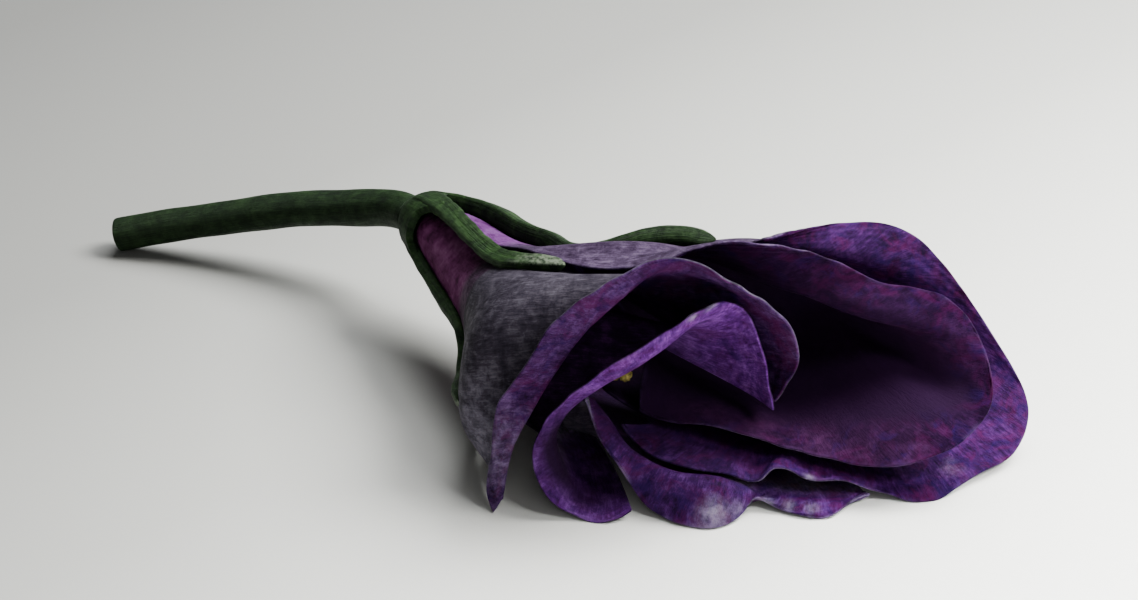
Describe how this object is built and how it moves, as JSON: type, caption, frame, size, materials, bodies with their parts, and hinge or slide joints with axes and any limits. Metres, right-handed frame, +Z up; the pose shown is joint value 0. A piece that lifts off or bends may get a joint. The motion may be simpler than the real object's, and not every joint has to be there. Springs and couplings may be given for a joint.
{
  "type": "violet trumpet flower",
  "caption": "Violet trumpet-shaped bloom with broad overlapping petals, a ribbed green calyx and a short cut stem, lying on its side.",
  "frame": {"origin": "middle of the footprint, on the surface that the bloom lies on", "axes": "+X along the length of the part, from the cut end of the stem towards the bloom's wide side; +Z up; +Y away from the bloom's open side"},
  "size_m": [0.1587, 0.0935, 0.0418],
  "materials": {
    "stem_green": "matte fleshy stem, grey-green",
    "calyx_green": "matte green with paler worn ribs",
    "petal_grey_violet": "satin, brushed grey-violet outer face",
    "petal_light_violet": "satin light violet with fine streaks",
    "petal_violet": "satin violet with brushed streaks",
    "petal_deep_violet": "satin deep violet, magenta and blue patches",
    "pollen_yellow": "matte, grainy yellow"
  },
  "bodies": {
    "root": {"stem": "stem_green", "calyx": "calyx_green", "petal_hood": "petal_grey_violet", "petal_tongue": "petal_light_violet", "petal_floor": "petal_violet", "petal_outer": "petal_violet", "petal_bowl": "petal_deep_violet", "stamens": "pollen_yellow"}
  },
  "joints": []
}
